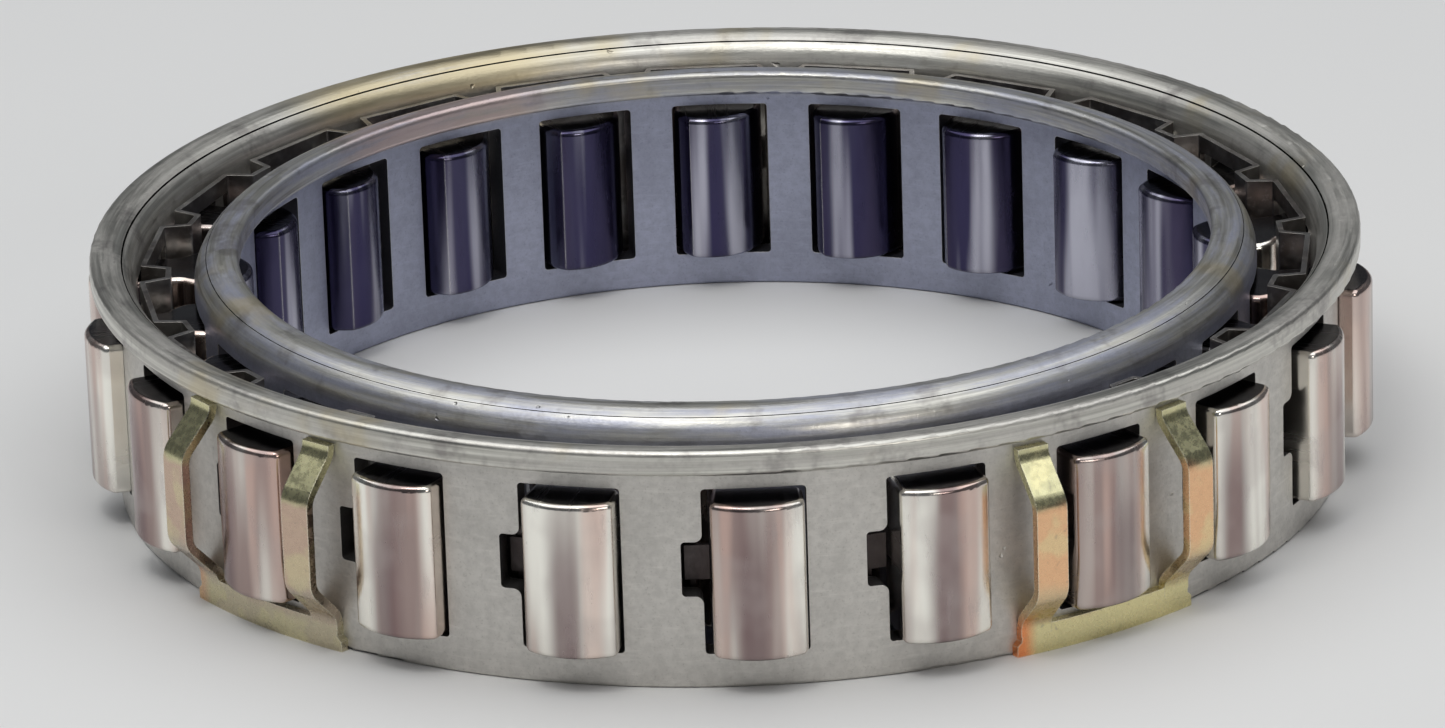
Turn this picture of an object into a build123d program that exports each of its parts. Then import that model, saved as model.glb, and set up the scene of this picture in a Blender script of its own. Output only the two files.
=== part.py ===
"""Double-cage sprag clutch insert with four drag clips.

Millimetres.  +Z is the clutch axis, z = 0 is the bottom edge both cages stand on,
and window 1 of both cages looks along -Y.  Angles grow counter-clockwise seen from +Z.
The insert runs between an inner race 49.72 mm and an outer race 66.38 mm in diameter.
"""
from build123d import *
from math import cos, degrees, hypot, radians, sqrt
import os

os.makedirs("parts", exist_ok=True)

# --- the whole insert --------------------------------------------------------------
HEIGHT = 12.7
SPRAG_COUNT = 22
PITCH = 360 / SPRAG_COUNT
FIRST_WINDOW_ANGLE = -90.0
SHEET = 1.3
CUT_PAST = 1.0

# --- cages -------------------------------------------------------------------------
OUTER_WALL_OUTSIDE = 31.88
OUTER_FLANGE_RADIUS = 32.87
INNER_WALL_INSIDE = 26.22
INNER_FLANGE_RADIUS = 25.18
INNER_FLANGE_DROP = 0.15
BEND_INSIDE = 0.3
RIM_ROUND = 0.3
FOOT_ROUND = 0.2

WINDOW_BOTTOM = 1.80
WINDOW_TOP = 10.43
WINDOW_CORNER = 0.2
OUTER_WINDOW_WIDTH = 5.13
INNER_WINDOW_WIDTH = 5.19
NOTCH_BOTTOM = 4.82
NOTCH_TOP = 7.67
NOTCH_DEPTH = 1.05
NOTCH_CORNER = 0.2
NOTCH_MOUTH_ROUND = 0.4

# --- sprags ------------------------------------------------------------------------
HEAD_CLEARANCE = 0.08
SPRAG_LENGTH = 8.1
SPRAG_LIFT = 0.12
HEAD_SPACING = 4.40
OUTER_CAM_RADIUS = 4.0
OUTER_CAM_CENTRE = (-1.705, 0.405)
HEEL_ACROSS = -2.43
TOE_ACROSS = 2.15
SHOULDER = (0.13, 2.43)
HEEL_ROOT = -1.73
TOE_ROOT = -1.20
INNER_CAM_RADIUS = 2.9
INNER_CAM_CENTRE = (0.98 - HEAD_SPACING, 0.435)
WAIST_WIDTH = 3.4
WAIST_ROUND = 0.6
CAM_CORNER_ROUND = 0.42
SPRAG_END_ROUND = 0.32
CAGE_TWIST_AT_REST = -1.64
SPRAG_LEAN = 10.08

# --- ribbon spring -----------------------------------------------------------------
RIBBON_SHEET = 0.28
RIBBON_RADIUS = 30.18
RIBBON_BOTTOM = 0.85
RIBBON_TOP = 11.35
FOLD_RADIUS = 28.85
FOLD_MOUTH = 1.30
FOLD_FLOOR = 0.75
FOLD_ROUND = 0.22
RIBBON_WINDOW_BOTTOM = 1.50
RIBBON_WINDOW_TOP = 10.45
RIBBON_WINDOW_HALF = 2.80
RIBBON_ANGLE_AT_REST = -0.15
TAB_BOTTOM = 5.20
TAB_TOP = 7.00
TAB_REACH = 0.70
TAB_ROOT = 0.55
TAB_SET_OUT = 0.10

# --- drag clips --------------------------------------------------------------------
CLIP_WINDOWS = (2, 8, 13, 19)
CLIP_SHEET = 0.45
CLIP_BEND = 1.1
CLIP_SHIFT = 0.17
CLIP_ARM_WIDTH = 1.7
CLIP_ARM_OFFSET = 4.32
CLIP_STAND_OFF = 1.8
CLIP_ARM_TOP = 10.9
CLIP_STEP_HIGH = 10.4
CLIP_BOW_TOP = 8.45
CLIP_BOW_BOTTOM = 3.7
CLIP_STEP_LOW = 1.8
CLIP_ARM_ROOT = 1.0
CLIP_STRIP_TOP = 1.5
CLIP_FOOT_FLARE = 0.25
CLIP_FOOT_TOP = 0.55
CLIP_HEM_WIDTH = 5.0
HEM_REBATE_PLAY = 0.1

# --- dimensions that follow from the ones above ------------------------------------
OUTER_WALL_INSIDE = OUTER_WALL_OUTSIDE - SHEET
INNER_WALL_OUTSIDE = INNER_WALL_INSIDE + SHEET
OUTER_PIVOT_RADIUS = OUTER_WALL_OUTSIDE - SHEET / 2
HEAD_RADIUS = OUTER_WINDOW_WIDTH / 2 - HEAD_CLEARANCE
WINDOW_HEIGHT = WINDOW_TOP - WINDOW_BOTTOM
WINDOW_MIDDLE = (WINDOW_TOP + WINDOW_BOTTOM) / 2


def window_angle(number):
    """Angle of the middle of outer window `number`, counted from 0."""
    return FIRST_WINDOW_ANGLE + number * PITCH


def clip_angle(number):
    """Angle of the middle of the clip that straddles outer window `number`."""
    return window_angle(number) + degrees(CLIP_SHIFT / OUTER_WALL_OUTSIDE)


def radial_plane(radius, z):
    """Plane facing outward at angle 0: its x runs counter-clockwise, its y up."""
    return Plane(origin=(radius, 0, z), x_dir=(0, 1, 0), z_dir=(1, 0, 0))


def around(shape, angle):
    """`shape` turned about the clutch axis."""
    return Rot(0, 0, angle) * shape


def turned(profile):
    """Ring swept once around the clutch axis from a profile in the XZ plane."""
    return revolve(profile, axis=Axis.Z, revolution_arc=360)


def flanged_profile(wall_near, wall_far, rim, top):
    """Bent sheet section: a wall between two radii whose top turns toward `rim`.

    `wall_near` is the side the flange turns to, `wall_far` the side of the big bend.
    """
    side = 1 if rim > wall_near else -1
    bend_outside = BEND_INSIDE + SHEET
    centre_r = wall_near + side * BEND_INSIDE
    underside = top - SHEET
    centre_z = underside - BEND_INSIDE
    slope = cos(radians(45))
    outside_mid = (centre_r - side * bend_outside * slope, centre_z + bend_outside * slope)
    inside_mid = (centre_r - side * BEND_INSIDE * slope, centre_z + BEND_INSIDE * slope)

    def point(r, z):
        return Vector(r, 0, z)

    far_top = point(wall_far, centre_z)
    flat_start = point(centre_r, top)
    rim_top = point(rim, top)
    rim_low = point(rim, underside)
    under_start = point(centre_r, underside)
    near_top = point(wall_near, centre_z)
    near_foot = point(wall_near, 0)
    far_foot = point(wall_far, 0)
    edges = [
        Line(far_foot, far_top),
        ThreePointArc(far_top, point(*outside_mid), flat_start),
        Line(flat_start, rim_top),
        Line(rim_top, rim_low),
        Line(rim_low, under_start),
        ThreePointArc(under_start, point(*inside_mid), near_top),
        Line(near_top, near_foot),
        Line(near_foot, far_foot),
    ]
    face = Face(Wire(edges))
    rim_corners = face.vertices().filter_by(lambda v: abs(v.X - rim) < 1e-6)
    face = fillet(rim_corners, RIM_ROUND)
    foot_corners = face.vertices().filter_by(lambda v: abs(v.Z) < 1e-6)
    return fillet(foot_corners, FOOT_ROUND)


def window_cutter(width, near, far, notched):
    """Block that opens one window at angle 0 through the wall from `near` to `far`."""
    outline = RectangleRounded(width, WINDOW_HEIGHT, WINDOW_CORNER)
    if notched:
        notch_width = NOTCH_DEPTH + WINDOW_CORNER
        notch_height = NOTCH_TOP - NOTCH_BOTTOM
        notch_x = -width / 2 - NOTCH_DEPTH + notch_width / 2
        notch_y = (NOTCH_TOP + NOTCH_BOTTOM) / 2 - WINDOW_MIDDLE
        notch = Rectangle(notch_width, notch_height)
        left = notch.vertices().filter_by(lambda v: v.X < 0)
        notch = fillet(left, NOTCH_CORNER)
        outline = outline + Pos(notch_x, notch_y) * notch
        mouth = outline.vertices().filter_by(
            lambda v: abs(v.X + width / 2) < 1e-6
            and abs(abs(v.Y - notch_y) - notch_height / 2) < 1e-6)
        outline = fillet(mouth, NOTCH_MOUTH_ROUND)
    return extrude(radial_plane(near, WINDOW_MIDDLE) * outline, amount=far - near)


def outer_cage():
    """Outer sheet cage: flange turned outward, notched windows, rebates for the clips."""
    body = turned(flanged_profile(
        OUTER_WALL_OUTSIDE, OUTER_WALL_INSIDE, OUTER_FLANGE_RADIUS, HEIGHT))
    cutter = window_cutter(
        OUTER_WINDOW_WIDTH, OUTER_WALL_INSIDE - CUT_PAST, OUTER_WALL_OUTSIDE + CUT_PAST,
        True)
    body -= [around(cutter, window_angle(k)) for k in range(SPRAG_COUNT)]
    rebate_width = CLIP_HEM_WIDTH + 2 * HEM_REBATE_PLAY
    rebate = Pos(OUTER_PIVOT_RADIUS, 0, 0) * Box(3 * SHEET, rebate_width, 2 * CLIP_SHEET)
    body -= [around(rebate, clip_angle(k)) for k in CLIP_WINDOWS]
    return body


def inner_cage():
    """Inner sheet cage: flange turned inward, plain windows, drawn at its rest twist."""
    body = turned(flanged_profile(
        INNER_WALL_INSIDE, INNER_WALL_OUTSIDE, INNER_FLANGE_RADIUS,
        HEIGHT - INNER_FLANGE_DROP))
    cutter = window_cutter(
        INNER_WINDOW_WIDTH, INNER_WALL_INSIDE - CUT_PAST, INNER_WALL_OUTSIDE + CUT_PAST,
        False)
    body -= [around(cutter, window_angle(k)) for k in range(SPRAG_COUNT)]
    return around(body, CAGE_TWIST_AT_REST)


def outer_cam_point(across):
    """Point of the outer cam at a distance `across` from the sprag's centre line."""
    centre_x, centre_y = OUTER_CAM_CENTRE
    return centre_x + sqrt(OUTER_CAM_RADIUS ** 2 - (across - centre_y) ** 2), across


def sprag_profile():
    """Section of a sprag: x points outward, the outer window's middle is the origin."""
    heel = outer_cam_point(HEEL_ACROSS)
    toe = outer_cam_point(TOE_ACROSS)
    crest = outer_cam_point(OUTER_CAM_CENTRE[1])
    half_waist = WAIST_WIDTH / 2
    cam = ThreePointArc(heel, crest, toe)
    sides = Polyline(
        toe, SHOULDER, (TOE_ROOT, half_waist), (HEEL_ROOT, -half_waist), heel)
    outer_head = make_face(Curve() + [cam, sides])
    inner_cam = Pos(*INNER_CAM_CENTRE) * Circle(INNER_CAM_RADIUS)
    inner_head = (Pos(-HEAD_SPACING, 0) * Circle(HEAD_RADIUS)) & inner_cam
    waist_end = TOE_ROOT + HEAD_CLEARANCE
    waist = Pos((waist_end - HEAD_SPACING) / 2, 0) * Rectangle(
        HEAD_SPACING + waist_end, WAIST_WIDTH)
    return outer_head + inner_head + waist


def upright_edges(body, points):
    """Edges of `body` parallel to Z that stand on one of the given points."""
    def on_a_point(edge):
        middle = edge.center()
        return any(hypot(middle.X - x, middle.Y - y) < 0.01 for x, y in points)

    return body.edges().filter_by(Axis.Z).filter_by(on_a_point)


def sprag_at_origin():
    """One sprag standing on z = 0, its pivot on the Z axis, leaning as at rest."""
    body = extrude(sprag_profile(), amount=SPRAG_LENGTH)
    half_waist = WAIST_WIDTH / 2
    neck = sqrt(HEAD_RADIUS ** 2 - half_waist ** 2) - HEAD_SPACING
    waist_ends = [
        (neck, half_waist), (neck, -half_waist),
        (TOE_ROOT, half_waist), (HEEL_ROOT, -half_waist)]
    body = fillet(upright_edges(body, waist_ends), WAIST_ROUND)
    cam_ends = [outer_cam_point(HEEL_ACROSS), outer_cam_point(TOE_ACROSS), SHOULDER]
    body = fillet(upright_edges(body, cam_ends), CAM_CORNER_ROUND)
    ends = body.faces().filter_by(Axis.Z).sort_by(Axis.Z)
    rims = ends[0].edges() + ends[-1].edges()
    body = fillet(rims, SPRAG_END_ROUND)
    return Rot(0, 0, SPRAG_LEAN) * body


def ribbon_points():
    """Middle line of the ribbon: a flat behind each sprag, a fold inward between two."""
    points = []
    for k in range(SPRAG_COUNT):
        middle = window_angle(k) + PITCH / 2
        corners = (
            (RIBBON_RADIUS, -FOLD_MOUTH),
            (FOLD_RADIUS, -FOLD_FLOOR),
            (FOLD_RADIUS, FOLD_FLOOR),
            (RIBBON_RADIUS, FOLD_MOUTH),
        )
        for radius, across in corners:
            turn = Rot(0, 0, middle) * Pos(radius, across)
            points.append(turn.position)
    return points


def beside(points, distance):
    """Closed polygon running `distance` to the right of a closed polyline, mitred."""
    shifted = []
    for before, here, after in zip(points[-1:] + points[:-1], points, points[1:] + points[:1]):
        along = (here - before).normalized()
        onward = (after - here).normalized()
        right = along.cross(Vector(0, 0, 1)) + onward.cross(Vector(0, 0, 1))
        half_turn_cosine_squared = right.dot(right) / 4
        shifted.append(here + right * (distance / 2 / half_turn_cosine_squared))
    return make_face(Polyline(*shifted, close=True))


def ribbon_spring():
    """Folded ribbon spring with a window for each sprag and a tab beside it."""
    points = ribbon_points()
    band = beside(points, RIBBON_SHEET / 2) - beside(points, -RIBBON_SHEET / 2)
    band = fillet(band.vertices(), FOLD_ROUND / 2)
    body = Pos(0, 0, RIBBON_BOTTOM) * extrude(band, amount=RIBBON_TOP - RIBBON_BOTTOM)

    window_height = RIBBON_WINDOW_TOP - RIBBON_WINDOW_BOTTOM
    window_outline = RectangleRounded(2 * RIBBON_WINDOW_HALF, window_height, FOLD_ROUND)
    window_middle = (RIBBON_WINDOW_TOP + RIBBON_WINDOW_BOTTOM) / 2
    window = extrude(radial_plane(FOLD_RADIUS + RIBBON_SHEET, window_middle)
                     * window_outline, amount=SHEET + RIBBON_SHEET)
    body -= [around(window, window_angle(k)) for k in range(SPRAG_COUNT)]

    tab_width = TAB_ROOT + TAB_REACH
    tab_y = -RIBBON_WINDOW_HALF + TAB_REACH - tab_width / 2
    tab = Pos(RIBBON_RADIUS + TAB_SET_OUT, tab_y, (TAB_BOTTOM + TAB_TOP) / 2) * Box(
        RIBBON_SHEET, tab_width, TAB_TOP - TAB_BOTTOM)
    body += [around(tab, window_angle(k)) for k in range(SPRAG_COUNT)]
    return around(body, RIBBON_ANGLE_AT_REST)


def clip_arm(side):
    """One bowed arm of a clip at angle 0, on the -1 or +1 side of its window."""
    wall = OUTER_WALL_OUTSIDE + CLIP_SHEET / 2
    bow = wall + CLIP_STAND_OFF
    path = FilletPolyline(
        (wall, 0, CLIP_ARM_ROOT),
        (wall, 0, CLIP_STEP_LOW),
        (bow, 0, CLIP_BOW_BOTTOM),
        (bow, 0, CLIP_BOW_TOP),
        (wall, 0, CLIP_STEP_HIGH),
        (wall, 0, CLIP_ARM_TOP),
        radius=CLIP_BEND)
    section = Plane(origin=(wall, 0, CLIP_ARM_ROOT), x_dir=(1, 0, 0), z_dir=(0, 0, 1))
    arm = sweep(section * Rectangle(CLIP_SHEET, CLIP_ARM_WIDTH), path=path)
    return around(arm, side * degrees(CLIP_ARM_OFFSET / OUTER_WALL_OUTSIDE))


def clip_outline():
    """Flat outline of the clip's lower part, as seen from outside its window."""
    arm_outer = CLIP_ARM_OFFSET + CLIP_ARM_WIDTH / 2
    foot = arm_outer + CLIP_FOOT_FLARE
    half = [
        (foot, 0),
        (foot, CLIP_FOOT_TOP),
        (arm_outer, CLIP_FOOT_TOP + CLIP_FOOT_FLARE),
        (arm_outer, CLIP_STRIP_TOP),
    ]
    other_half = [(-across, up) for across, up in reversed(half)]
    return make_face(Polyline(*half, *other_half, close=True))


def drag_clip():
    """U-shaped clip at angle 0: two bowed arms, a strip round the wall, a hem below."""
    wall_sheet = extrude(
        Circle(OUTER_WALL_OUTSIDE + CLIP_SHEET) - Circle(OUTER_WALL_OUTSIDE),
        amount=CLIP_STRIP_TOP)
    outline = extrude(
        radial_plane(OUTER_WALL_OUTSIDE - SHEET, 0) * clip_outline(), amount=3 * SHEET)
    strip = wall_sheet & outline
    hem_face = (Circle(OUTER_WALL_OUTSIDE + CLIP_SHEET / 2) - Circle(OUTER_WALL_INSIDE))
    hem_keep = Pos(OUTER_PIVOT_RADIUS, 0) * Rectangle(3 * SHEET, CLIP_HEM_WIDTH)
    hem = extrude(hem_face & hem_keep, amount=CLIP_SHEET)
    return strip + hem + clip_arm(-1) + clip_arm(1)


def write(name, shape):
    """Write one piece to parts/NAME.step."""
    shape.label = name
    export_step(shape, f"parts/{name}.step")


write("outer_cage", outer_cage())
write("inner_cage", inner_cage())
write("ribbon_spring", ribbon_spring())

standing_sprag = sprag_at_origin()
for k in range(SPRAG_COUNT):
    placed = Pos(OUTER_PIVOT_RADIUS, 0, WINDOW_BOTTOM + SPRAG_LIFT) * standing_sprag
    write(f"sprag_{k + 1:02d}", around(placed, window_angle(k)))

clip = drag_clip()
for number, k in enumerate(CLIP_WINDOWS, start=1):
    write(f"drag_clip_{number}", around(clip, clip_angle(k)))
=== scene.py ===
"""Looks of the sprag clutch insert: materials, light and camera."""

import math

import bpy
from mathutils import Matrix, Vector

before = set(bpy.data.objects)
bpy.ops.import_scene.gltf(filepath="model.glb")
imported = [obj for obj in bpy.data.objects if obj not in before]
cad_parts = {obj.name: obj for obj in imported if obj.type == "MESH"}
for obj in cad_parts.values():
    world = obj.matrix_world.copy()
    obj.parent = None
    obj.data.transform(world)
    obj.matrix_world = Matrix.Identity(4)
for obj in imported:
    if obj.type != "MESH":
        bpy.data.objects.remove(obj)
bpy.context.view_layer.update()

MM = 0.001
SHEET = 1.3
RIM_ROUND = 0.3
SPRAG_COUNT = 22
PITCH = 2 * math.pi / SPRAG_COUNT
FIRST_WINDOW = -math.pi / 2

# Radii and heights of the CAD model, in millimetres.
WALL_RADIUS = 31.2
OUTER_RIM = 32.87
OUTER_TOP = 12.7
INNER_RIM = 25.18
INNER_TOP = 12.55
FLAT_WIDTH = 2.0

# Colours, linear RGB.
# Painted shade on the cages' window cut faces.
CUT_FACE_PAINTED_SHADE = (0.055, 0.053, 0.055)
FLANGE_LINE_DARK = (0.41, 0.40, 0.365)
FLANGE_LINE_BRIGHT = (0.74, 0.73, 0.67)
OIL = (0.20, 0.18, 0.18)
STRAW = (0.58, 0.50, 0.32)
# Cage edges: rubbed bright, partly wear and partly a painted highlight.
WORN_EDGE_AND_HIGHLIGHT = (0.78, 0.77, 0.75)
# Painted reflections on the sprags' faces: a dark and a light colour for upright reflection
# stripes.
SPRAG_REFLECTION_DARK = (0.38, 0.29, 0.27)
SPRAG_REFLECTION_LIGHT = (1.0, 0.98, 0.90)
# Painted reflection: a rose tint on the sprags' faces.
SPRAG_PINK_REFLECTION = (0.72, 0.51, 0.44)
SPRAG_SHADOW = (0.19, 0.125, 0.13)
SPRAG_CLOUD = (0.50, 0.44, 0.42)
SPRAG_SMEAR = (0.40, 0.34, 0.34)
# Painted shade and painted sheen on the sprags' inner ends.
SPRAG_INNER_PAINTED_SHADE = (0.035, 0.033, 0.09)
SPRAG_INNER_PAINTED_SHEEN = (0.46, 0.46, 0.55)
# Sprag edges: rubbed bright, partly wear and partly a painted highlight.
SPRAG_RUBBED_EDGE_AND_HIGHLIGHT = (1.0, 0.99, 0.95)
# Painted shade on the sprags' level end faces.
SPRAG_END_PAINTED_SHADE = (0.03, 0.03, 0.04)
RIBBON_LIGHT = (0.30, 0.29, 0.28)
RIBBON_DARK = (0.17, 0.15, 0.14)
RIBBON_SCUFF = (0.42, 0.40, 0.37)
# Ribbon edges: rubbed bright, partly wear and partly a painted highlight.
RIBBON_RUBBED_EDGE_AND_HIGHLIGHT = (0.62, 0.60, 0.56)
# Painted shade on the ribbon's tabs.
RIBBON_TAB_PAINTED_SHADE = (0.05, 0.04, 0.04)
# Clip colours, partly a straw tint and partly painted reflections of coloured surroundings.
CLIP_PALE = (0.84, 0.76, 0.42)
CLIP_OLIVE = (0.66, 0.63, 0.38)
CLIP_COPPER = (0.88, 0.54, 0.31)
CLIP_STEEL = (0.44, 0.39, 0.36)
CLIP_TAN = (0.74, 0.58, 0.36)
# Painted reflection: a red patch at one foot of each clip.
CLIP_HEEL_REFLECTION = (0.92, 0.34, 0.14)
# Clip edges: rubbed bright, partly wear and partly a painted highlight.
CLIP_RUBBED_EDGE_AND_HIGHLIGHT = (0.92, 0.89, 0.72)
FLOOR_COLOUR = (0.78, 0.78, 0.775)
WORLD_COLOUR = (0.80, 0.84, 0.90, 1)

FLOOR_HALF = 3.0
FLOOR_ROUGHNESS = 0.6
WORLD_STRENGTH = 0.12


# --- node helpers --------------------------------------------------------------------
# In the materials below, noise takes a scale per millimetre, its detail and its
# roughness. The two numbers after the first value of span are where along that value a
# tint begins and where it is full, and the last two are its least and greatest share.
class Graph:
    """Adds and links the nodes of one material."""

    def __init__(self, name):
        self.material = bpy.data.materials.new(name)
        self.material.use_nodes = True
        self.nodes = self.material.node_tree.nodes
        self.links = self.material.node_tree.links
        self.shader = self.nodes["Principled BSDF"]

    def put(self, socket, value):
        """Links a socket or sets a plain value on an input."""
        if isinstance(value, bpy.types.NodeSocket):
            self.links.new(value, socket)
        elif isinstance(value, (tuple, list)) and len(value) == 3 and socket.type == "RGBA":
            socket.default_value = (*value, 1.0)
        else:
            socket.default_value = value

    def add(self, kind, settings=None, **inputs):
        """Adds a node. An underscore in an input's name stands for a space."""
        node = self.nodes.new(kind)
        for key, value in (settings or {}).items():
            setattr(node, key, value)
        for key, value in inputs.items():
            self.put(node.inputs[key.replace("_", " ")], value)
        return node

    def math(self, operation, a, b=0.0, c=0.0):
        """Result of one sum on single values."""
        node = self.nodes.new("ShaderNodeMath")
        node.operation = operation
        for socket, value in zip(node.inputs, (a, b, c)):
            self.put(socket, value)
        return node.outputs[0]

    def span(self, value, low, high, to_low=0.0, to_high=1.0):
        """Value between low and high mapped smoothly, and held outside them."""
        node = self.add("ShaderNodeMapRange", {"interpolation_type": "SMOOTHSTEP"})
        for socket, v in zip(node.inputs, (value, low, high, to_low, to_high)):
            self.put(socket, v)
        return node.outputs["Result"]

    def mix(self, factor, a, b):
        """Colour that passes from a to b as the factor goes to 1."""
        node = self.nodes.new("ShaderNodeMix")
        node.data_type = "RGBA"
        self.put(node.inputs[0], factor)
        self.put(node.inputs[6], a)
        self.put(node.inputs[7], b)
        return node.outputs[2]

    def blend(self, factor, a, b):
        """Single value that passes from a to b as the factor goes to 1."""
        node = self.nodes.new("ShaderNodeMix")
        node.data_type = "FLOAT"
        self.put(node.inputs[0], factor)
        self.put(node.inputs[2], a)
        self.put(node.inputs[3], b)
        return node.outputs[0]

    def vector(self, x, y, z):
        """Vector put together from three values."""
        return self.add("ShaderNodeCombineXYZ", X=x, Y=y, Z=z).outputs[0]

    def noise(self, vector, scale, detail=3.0, rough=0.55):
        """Cloudy noise between 0 and 1."""
        node = self.add("ShaderNodeTexNoise", Vector=vector, Scale=scale, Detail=detail,
                        Roughness=rough)
        return node.outputs["Fac"]

    def coordinates(self):
        """Row-frame position in millimetres, with its angle, radius and height."""
        place = self.add("ShaderNodeTexCoord").outputs["Object"]
        scaled = self.add("ShaderNodeVectorMath", {"operation": "SCALE"})
        self.put(scaled.inputs[0], place)
        scaled.inputs["Scale"].default_value = 1 / MM
        self.mm = scaled.outputs[0]
        parts = self.add("ShaderNodeSeparateXYZ", Vector=self.mm)
        x, y, self.z = parts.outputs
        self.angle = self.math("ARCTAN2", y, x)
        flat = self.math("ADD", self.math("MULTIPLY", x, x), self.math("MULTIPLY", y, y))
        self.radius = self.math("SQRT", flat)
        turn = self.math("DIVIDE", self.math("SUBTRACT", self.angle, FIRST_WINDOW), PITCH)
        nearest = self.math("ROUND", turn)
        self.number = nearest
        self.across = self.math(
            "MULTIPLY", self.math("SUBTRACT", turn, nearest), PITCH * WALL_RADIUS)
        return self.mm

    def bump(self, height, distance, strength=1.0, normal=None):
        """Normal tilted by a height pattern, on top of another normal if one is given."""
        node = self.add("ShaderNodeBump", Height=height, Distance=distance,
                        Strength=strength)
        if normal is not None:
            self.links.new(normal, node.inputs["Normal"])
        return node.outputs[0]

    def rounded(self, radius_mm):
        """Normal that turns smoothly over sharp edges."""
        return self.add("ShaderNodeBevel", {"samples": 4}, Radius=radius_mm * MM).outputs[0]

    def vectors(self, operation, first, second=None):
        """Result of one vector sum."""
        node = self.add("ShaderNodeVectorMath", {"operation": operation})
        self.put(node.inputs[0], first)
        if second is not None:
            self.put(node.inputs[1], second)
        return node.outputs[0]

    def choose(self, share, first, second):
        """Unit vector that passes from the first to the second as `share` goes to 1."""
        node = self.add("ShaderNodeMix", {"data_type": "VECTOR"})
        self.put(node.inputs[0], share)
        self.put(node.inputs[4], first)
        self.put(node.inputs[5], second)
        return self.vectors("NORMALIZE", node.outputs[1])

    def outward(self):
        """Unit vector away from the clutch's axis."""
        return self.vectors("NORMALIZE", self.vectors("MULTIPLY", self.mm, (1, 1, 0)))

    def in_world(self, direction):
        """The piece's own direction as it stands in the scene, in a pose too."""
        node = self.add("ShaderNodeVectorTransform", {
            "vector_type": "NORMAL", "convert_from": "OBJECT", "convert_to": "WORLD"})
        self.put(node.inputs[0], direction)
        return node.outputs[0]

    def rim_normal(self, rim, wall_side, top):
        """Exact normal of the flange's rounded rim, which the mesh only approaches."""
        low_r, high_r = sorted((rim, wall_side))
        here = self.vector(self.radius, 0.0, self.z)
        low = (low_r + RIM_ROUND, 0, top - SHEET + RIM_ROUND)
        high = (high_r - RIM_ROUND, 0, top - RIM_ROUND)
        core = self.vectors("MINIMUM", self.vectors("MAXIMUM", here, low), high)
        away = self.vectors("NORMALIZE", self.vectors("SUBTRACT", here, core))
        parts = self.add("ShaderNodeSeparateXYZ", Vector=away)
        across, _, up = parts.outputs
        side = self.add("ShaderNodeVectorMath", {"operation": "SCALE"})
        self.put(side.inputs[0], self.outward())
        self.put(side.inputs["Scale"], across)
        flat = self.vectors("ADD", side.outputs[0], self.vector(0.0, 0.0, up))
        return self.in_world(flat)

    def facing_out(self):
        """How squarely a face looks along the radius: 1 on a cage's wall, 0 in its cuts."""
        along = self.nodes.new("ShaderNodeVectorMath")
        along.operation = "DOT_PRODUCT"
        self.put(along.inputs[0], self.in_world(self.outward()))
        self.put(along.inputs[1], self.add("ShaderNodeNewGeometry").outputs["Normal"])
        return self.math("ABSOLUTE", along.outputs["Value"])

    def facing_up(self):
        """1 on level faces, 0 on upright ones."""
        normal = self.add("ShaderNodeNewGeometry").outputs["Normal"]
        parts = self.add("ShaderNodeSeparateXYZ", Vector=normal)
        return self.math("ABSOLUTE", parts.outputs[2])

    def edge_wear(self, radius_mm, most):
        """0 on open faces, rising to `most` on sharp edges."""
        turned = self.nodes.new("ShaderNodeVectorMath")
        turned.operation = "DOT_PRODUCT"
        self.put(turned.inputs[0], self.rounded(radius_mm))
        self.put(turned.inputs[1], self.add("ShaderNodeNewGeometry").outputs["Normal"])
        return self.span(turned.outputs["Value"], 0.995, 0.90, 0.0, most)

    def finish(self, **inputs):
        """Sets the shader's own inputs and returns the material."""
        for key, value in inputs.items():
            self.put(self.shader.inputs[key.replace("_", " ")], value)
        return self.material


def shade(colour, factor):
    """Colour made darker or lighter by a factor."""
    return tuple(min(1.0, c * factor) for c in colour)


def between(first, second, share):
    """Colour part of the way from the first to the second."""
    return tuple(a + (b - a) * share for a, b in zip(first, second))


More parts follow.
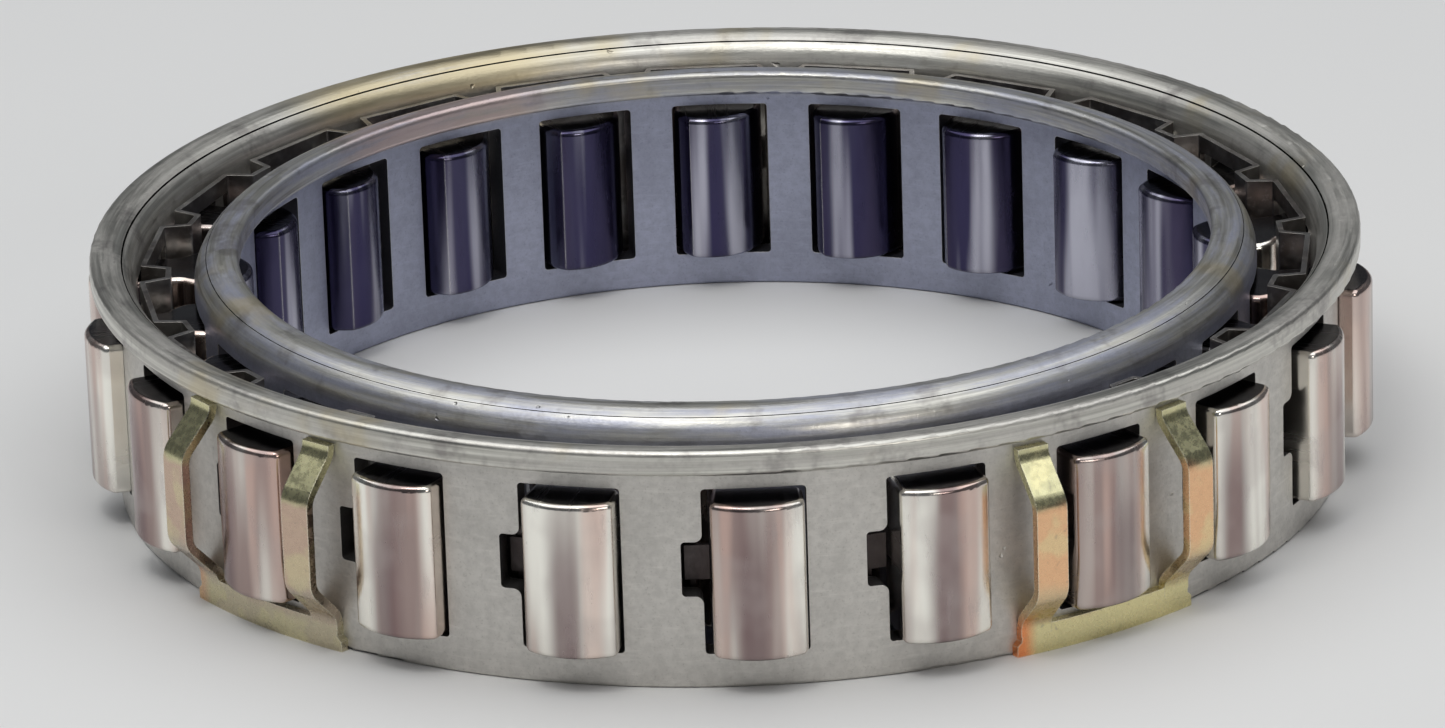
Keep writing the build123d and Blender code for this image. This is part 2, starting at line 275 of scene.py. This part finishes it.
def cage_material(name, wall_colour, flange_low, seed, patch_angle, patch_colour, rim,
                  top):
    """Pressed sheet: satin speckled wall, flange rubbed brighter with turned lines.

    `rim` and `top` place the flange; a stained patch lies about `patch_angle` on it.
    """
    g = Graph(name)
    mm = g.coordinates()
    shifted = g.add("ShaderNodeVectorMath", {"operation": "ADD"})
    g.put(shifted.inputs[0], mm)
    shifted.inputs[1].default_value = (seed, seed * 0.7, 0)
    place = shifted.outputs[0]
    speckle = g.noise(place, 8.0, 2, 0.6)
    grain = g.noise(place, 2.2, 3, 0.6)
    patches = g.noise(place, 0.16, 4, 0.6)
    arc = g.math("MULTIPLY", g.angle, 31.0)
    lines = g.noise(g.vector(g.math("MULTIPLY", arc, 0.05),
                             g.math("MULTIPLY", g.radius, 5.0),
                             g.math("MULTIPLY", g.z, 5.0)), 1.0, 3, 0.6)
    rub = g.noise(g.vector(g.math("MULTIPLY", arc, 0.12),
                           g.math("MULTIPLY", g.radius, 1.3),
                           g.math("MULTIPLY", g.z, 1.3)), 1.0, 4, 0.65)
    flange = g.span(g.z, flange_low - 0.6, flange_low + 0.3)
    worn = g.math("MULTIPLY", flange, g.span(rub, 0.30, 0.66, 0.15, 1.0))

    wall = g.mix(g.span(grain, 0.3, 0.7), shade(wall_colour, 0.93), shade(wall_colour, 1.06))
    wall = g.mix(g.span(speckle, 0.60, 0.74, 0, 0.5), wall, shade(wall_colour, 0.70))
    wall = g.mix(g.span(patches, 0.45, 0.7, 0, 0.35), wall, shade(wall_colour, 0.68))
    streaks = g.noise(g.vector(g.math("MULTIPLY", arc, 0.5), 0.0,
                               g.math("MULTIPLY", g.z, 4.0)), 1.0, 3, 0.6)
    wall = g.mix(g.span(streaks, 0.52, 0.72, 0, 0.35), wall, shade(wall_colour, 1.25))
    # Painted shade: the windows' cut faces below the flange are made near black.
    cut_face_shade = g.math("MULTIPLY", g.span(g.facing_out(), 0.75, 0.35),
                     g.span(g.z, flange_low - 0.4, flange_low - 0.9))
    wall = g.mix(g.math("MULTIPLY", cut_face_shade, 0.85), wall, CUT_FACE_PAINTED_SHADE)
    bright = g.mix(g.span(lines, 0.3, 0.7), FLANGE_LINE_DARK, FLANGE_LINE_BRIGHT)
    colour = g.mix(worn, wall, bright)
    oil = g.noise(place, 0.3, 4, 0.7)
    colour = g.mix(g.math("MULTIPLY", flange, g.span(oil, 0.52, 0.68, 0, 0.5)),
                   colour, OIL)
    straw = g.noise(place, 0.12, 3, 0.6)
    colour = g.mix(g.math("MULTIPLY", flange, g.span(straw, 0.56, 0.68, 0, 0.6)),
                   colour, STRAW)
    far = g.math("ABSOLUTE", g.math("SUBTRACT", g.angle, patch_angle))
    patch = g.math("MULTIPLY", g.span(far, 0.34, 0.16), g.span(rub, 0.30, 0.50, 0.3, 1.0))
    colour = g.mix(g.math("MULTIPLY", g.math("MULTIPLY", flange, patch), 0.8), colour,
                   patch_colour)
    # Cage edges rubbed bright, partly wear and partly a painted highlight.
    wall_only = g.span(g.z, flange_low - 0.2, flange_low - 0.9)
    colour = g.mix(g.math("MULTIPLY", wall_only, g.edge_wear(0.08, 0.6)),
                   colour, WORN_EDGE_AND_HIGHLIGHT)

    rough = g.blend(worn, g.span(speckle, 0.3, 0.7, 0.40, 0.54),
                    g.span(rub, 0.3, 0.7, 0.42, 0.32))
    wall_side = rim + FLAT_WIDTH if rim < WALL_RADIUS else rim - FLAT_WIDTH
    near_rim = g.span(g.math("ABSOLUTE", g.math("SUBTRACT", g.radius, rim)), 0.62, 0.50)
    own = g.add("ShaderNodeNewGeometry").outputs["Normal"]
    shape = g.choose(wall_only, own, g.rounded(0.05))
    on_flange = g.span(g.z, top - SHEET - 0.10, top - SHEET - 0.05)
    shape = g.choose(g.math("MULTIPLY", near_rim, on_flange), shape,
                     g.rim_normal(rim, wall_side, top))
    rise = g.bump(speckle, 0.008 * MM, 1.0, shape)
    rise = g.bump(grain, 0.010 * MM, 0.7, rise)
    rise = g.bump(g.math("MULTIPLY", lines, flange), 0.006 * MM, 1.0, rise)
    nicks = g.span(g.noise(place, 1.1, 2, 0.5), 0.74, 0.80)
    rise = g.bump(nicks, -0.05 * MM, 1.0, rise)
    metal = g.blend(worn, 0.85, 0.98)
    return g.finish(Base_Color=colour, Metallic=metal, Roughness=rough, Normal=rise)


def sprag_material():
    """Ground and polished hardened steel with painted reflections as axial stripes and a rose
    tint, a painted shadow stripe, painted shade and sheen on the inner end, painted shade on
    the flat ends, rims rubbed bright and partly a painted highlight.
    """
    g = Graph("sprag_steel")
    mm = g.coordinates()
    along = g.math("ADD", g.across, g.math("MULTIPLY", g.number, 7.31))
    # Painted reflections: upright stripes across each sprag's face stand for the surroundings
    # mirrored in it.
    reflection_bands = g.noise(g.vector(along, g.number, g.math("MULTIPLY", g.z, 0.05)), 0.55, 2, 0.4)
    pink_reflection = g.noise(g.vector(along, 3.0, g.math("MULTIPLY", g.z, 0.06)), 0.7, 2, 0.5)
    grind = g.noise(g.vector(g.math("MULTIPLY", g.across, 9.0), g.number,
                             g.math("MULTIPLY", g.z, 0.25)), 1.0, 3, 0.6)
    smear = g.noise(g.vector(g.math("MULTIPLY", g.across, 1.4),
                             g.math("MULTIPLY", g.number, 3.7),
                             g.math("MULTIPLY", g.z, 0.3)), 1.0, 4, 0.6)
    cloud = g.noise(mm, 0.3, 2, 0.5)
    draw = g.noise(g.vector(g.math("MULTIPLY", g.number, 0.83), 5.0, 2.0), 1.0, 0, 0.5)
    off = g.math("SUBTRACT", g.across, g.math("MULTIPLY", g.math("SUBTRACT", draw, 0.55), 4.0))
    shadow = g.span(g.math("ABSOLUTE", off), 0.25, 1.15, 1.0, 0.0)
    low = g.span(g.z, 10.5, 5.5, 0.45, 1.0)
    colour = g.mix(g.span(reflection_bands, 0.38, 0.58), SPRAG_REFLECTION_DARK, SPRAG_REFLECTION_LIGHT)
    # Painted reflection: a rose tint from coloured surroundings.
    colour = g.mix(g.span(pink_reflection, 0.46, 0.64, 0, 0.65), colour, SPRAG_PINK_REFLECTION)
    colour = g.mix(g.math("MULTIPLY", g.math("MULTIPLY", shadow, low), 0.8), colour,
                   SPRAG_SHADOW)
    colour = g.mix(g.span(cloud, 0.46, 0.64, 0, 0.3), colour, SPRAG_CLOUD)
    colour = g.mix(g.span(smear, 0.56, 0.72, 0, 0.25), colour, SPRAG_SMEAR)
    # Painted shade and painted sheen: the inner ends, inside the inner cage, are made dark
    # blue with lighter streaks.
    inner = g.span(g.radius, 27.6, 26.4)
    inner_sheen = g.span(reflection_bands, 0.48, 0.62)
    inner_shade_and_sheen = g.mix(inner_sheen, SPRAG_INNER_PAINTED_SHADE, SPRAG_INNER_PAINTED_SHEEN)
    colour = g.mix(g.math("MULTIPLY", inner, 0.95), colour, inner_shade_and_sheen)
    # Sprag edges rubbed bright, partly wear and partly a painted highlight.
    colour = g.mix(g.edge_wear(0.16, 0.9), colour, SPRAG_RUBBED_EDGE_AND_HIGHLIGHT)
    # Painted shade: the level end faces, deep between the cages, are made near black.
    colour = g.mix(g.span(g.facing_up(), 0.95, 0.995, 0, 0.94), colour, SPRAG_END_PAINTED_SHADE)
    rough = g.span(smear, 0.3, 0.7, 0.16, 0.29)
    rise = g.bump(grind, 0.004 * MM, 0.8)
    return g.finish(Base_Color=colour, Metallic=1.0, Roughness=rough, Normal=rise)


def ribbon_material():
    """Rolled spring strip: oily dark steel, its tabs and floors darker with painted shade,
    edges rubbed bright and partly a painted highlight.
    """
    g = Graph("ribbon_steel")
    mm = g.coordinates()
    cloud = g.noise(mm, 0.42, 3, 0.6)
    scuff = g.noise(mm, 2.6, 4, 0.65)
    colour = g.mix(g.span(cloud, 0.35, 0.65), RIBBON_LIGHT, RIBBON_DARK)
    colour = g.mix(g.span(scuff, 0.55, 0.70, 0, 0.5), colour, RIBBON_SCUFF)
    # Ribbon edges rubbed bright, partly wear and partly a painted highlight.
    colour = g.mix(g.edge_wear(0.06, 0.55), colour, RIBBON_RUBBED_EDGE_AND_HIGHLIGHT)
    # Painted shade: the tabs, behind the outer wall, are made near black.
    tab_shade = g.math("MULTIPLY", g.span(g.radius, 29.2, 29.6), g.span(g.z, 8.6, 7.6))
    colour = g.mix(g.math("MULTIPLY", tab_shade, 0.9), colour, RIBBON_TAB_PAINTED_SHADE)
    rough = g.span(scuff, 0.3, 0.7, 0.28, 0.45)
    rise = g.bump(scuff, 0.008 * MM, 0.9, g.rounded(0.04))
    rise = g.bump(cloud, 0.05 * MM, 0.6, rise)
    return g.finish(Base_Color=colour, Metallic=1.0, Roughness=rough, Normal=rise)


def clip_material(name, window, reflected_tint):
    """Spring strip, partly straw-tinted and partly painted with reflections of coloured
    surroundings: olive top bends, copper arms, pale strip, a red patch at the foot.
    """
    g = Graph(name)
    mm = g.coordinates()
    cloud = g.noise(mm, 0.35, 2, 0.5)
    heat = g.noise(mm, 0.6, 2, 0.5)
    scuff = g.noise(mm, 3.0, 3, 0.6)
    # Painted reflections: each height band, and so each facet of bends and arms, gets its own
    # colour; the last argument sets how strongly per clip.
    level = g.math("ADD", g.z, g.math("MULTIPLY", g.math("SUBTRACT", cloud, 0.5), 2.5))
    arm = between(CLIP_STEEL, CLIP_COPPER, reflected_tint)
    lower_bend = between(CLIP_STEEL, CLIP_TAN, reflected_tint)
    strip = between(CLIP_STEEL, CLIP_PALE, reflected_tint)
    colour = g.mix(g.span(level, 7.9, 8.6), arm, CLIP_OLIVE)
    colour = g.mix(g.span(level, 4.6, 3.2), colour, lower_bend)
    colour = g.mix(g.span(level, 1.9, 1.2), colour, strip)
    colour = g.mix(g.span(heat, 0.50, 0.66, 0, 0.45), colour,
                   between(CLIP_OLIVE, CLIP_PALE, reflected_tint))
    middle = FIRST_WINDOW + window * PITCH
    turn = g.math("SUBTRACT", g.angle, math.remainder(middle, 2 * math.pi))
    # Painted reflection: a red patch at one foot of the strip.
    heel_reflection = g.math("MULTIPLY", g.span(turn, -0.125, -0.155), g.span(g.z, 3.0, 1.2))
    colour = g.mix(g.math("MULTIPLY", heel_reflection, reflected_tint), colour, CLIP_HEEL_REFLECTION)
    colour = g.mix(g.span(scuff, 0.62, 0.76, 0, 0.35), colour, shade(CLIP_STEEL, 0.7))
    # Clip edges rubbed bright, partly wear and partly a painted highlight.
    colour = g.mix(g.edge_wear(0.09, 0.8), colour, CLIP_RUBBED_EDGE_AND_HIGHLIGHT)
    rough = g.span(scuff, 0.3, 0.7, 0.20, 0.34)
    rise = g.bump(cloud, 0.08 * MM, 0.8, g.rounded(0.05))
    rise = g.bump(scuff, 0.003 * MM, 0.8, rise)
    return g.finish(Base_Color=colour, Metallic=1.0, Roughness=rough, Normal=rise)


MATERIALS = {
    "outer_cage": cage_material(
        "outer_cage_steel", wall_colour=(0.62, 0.60, 0.565), flange_low=11.4, seed=0.0,
        patch_angle=2.08, patch_colour=(0.62, 0.53, 0.33), rim=OUTER_RIM, top=OUTER_TOP),
    # Painted shade and a painted blue reflection: the inner cage's wall colour is darker and
    # bluer than the outer cage's.
    "inner_cage": cage_material(
        "inner_cage_steel", wall_colour=(0.40, 0.42, 0.53), flange_low=11.3, seed=57.0,
        patch_angle=2.2, patch_colour=(0.60, 0.47, 0.46), rim=INNER_RIM, top=INNER_TOP),
    "ribbon_spring": ribbon_material(),
    "sprag": sprag_material(),
    # The last number of each clip sets how strongly its painted reflections show.
    "drag_clip_1": clip_material("clip_steel_1", 2, 1.0),
    "drag_clip_2": clip_material("clip_steel_2", 8, 0.6),
    "drag_clip_3": clip_material("clip_steel_3", 13, 0.8),
    "drag_clip_4": clip_material("clip_steel_4", 19, 0.35),
}

for name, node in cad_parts.items():
    key = next(k for k in MATERIALS if name.startswith(k))
    node.data.materials.clear()
    node.data.materials.append(MATERIALS[key])


# --- floor, light --------------------------------------------------------------------
def plain(name, colour, rough):
    """Matt material with hardly any pattern."""
    g = Graph(name)
    mm = g.coordinates()
    tone = g.mix(g.noise(mm, 0.02, 3), shade(colour, 0.98), colour)
    return g.finish(Base_Color=tone, Roughness=rough)


floor_mesh = bpy.data.meshes.new("floor")
floor_mesh.from_pydata(
    [(-FLOOR_HALF, -FLOOR_HALF, 0), (FLOOR_HALF, -FLOOR_HALF, 0),
     (FLOOR_HALF, FLOOR_HALF, 0), (-FLOOR_HALF, FLOOR_HALF, 0)], [],
    [(0, 1, 2, 3)])
floor = bpy.data.objects.new("floor", floor_mesh)
bpy.context.scene.collection.objects.link(floor)
floor_mesh.materials.append(plain("pale_floor", FLOOR_COLOUR, FLOOR_ROUGHNESS))

world = bpy.data.worlds.new("studio")
bpy.context.scene.world = world
world.use_nodes = True
world.node_tree.nodes["Background"].inputs[0].default_value = WORLD_COLOUR
world.node_tree.nodes["Background"].inputs[1].default_value = WORLD_STRENGTH


def softbox(name, place, target, width, height, power, colour):
    """Rectangular lamp at `place`, in metres and watts, turned to face `target`."""
    data = bpy.data.lights.new(name, "AREA")
    data.shape = "RECTANGLE"
    data.size, data.size_y = width, height
    data.energy = power
    data.color = colour
    lamp = bpy.data.objects.new(name, data)
    bpy.context.scene.collection.objects.link(lamp)
    lamp.location = place
    lamp.rotation_mode = "QUATERNION"
    lamp.rotation_quaternion = (Vector(target) - Vector(place)).to_track_quat("-Z", "Y")


softbox("overhead", place=(0.0, 0.02, 0.50), target=(0, 0, 0), width=1.00, height=0.80,
        power=3.4, colour=(0.98, 0.99, 1.0))
softbox("key", place=(-0.10, -0.16, 0.42), target=(0, 0, 0.01), width=0.14, height=0.09,
        power=0.26, colour=(1.0, 0.98, 0.94))
softbox("front", place=(0.18, -0.40, 0.20), target=(0, 0, 0.01), width=0.12, height=0.10,
        power=0.22, colour=(1.0, 0.95, 0.90))

# --- camera, as fitted to the photograph ---------------------------------------------
AZIMUTH = math.radians(-91.78)
ELEVATION = math.radians(20.41)
ROLL = math.radians(-1.85)
DISTANCE = 0.4524
TARGET = Vector((0, 0, 0.005042))
LENS = 216.34
SENSOR_WIDTH = 36
SHIFT_X = -0.0043
SHIFT_Y = -0.0004
NEAREST = 0.01
FARTHEST = 20

camera_data = bpy.data.cameras.new("camera")
camera = bpy.data.objects.new("camera", camera_data)
bpy.context.scene.collection.objects.link(camera)
bpy.context.scene.camera = camera
camera_data.lens = LENS
camera_data.sensor_width = SENSOR_WIDTH
camera_data.shift_x = SHIFT_X
camera_data.shift_y = SHIFT_Y
camera_data.dof.use_dof = False
camera_data.clip_start = NEAREST
camera_data.clip_end = FARTHEST

back = Vector((math.cos(ELEVATION) * math.cos(AZIMUTH),
               math.cos(ELEVATION) * math.sin(AZIMUTH), math.sin(ELEVATION)))
level = Vector((0, 0, 1)).cross(back).normalized()
rise = back.cross(level)
right = level * math.cos(ROLL) + rise * math.sin(ROLL)
above = rise * math.cos(ROLL) - level * math.sin(ROLL)
turn = Matrix((right, above, back)).transposed()
camera.matrix_world = Matrix.Translation(TARGET + back * DISTANCE) @ turn.to_4x4()

bpy.context.scene.view_settings.view_transform = "Standard"
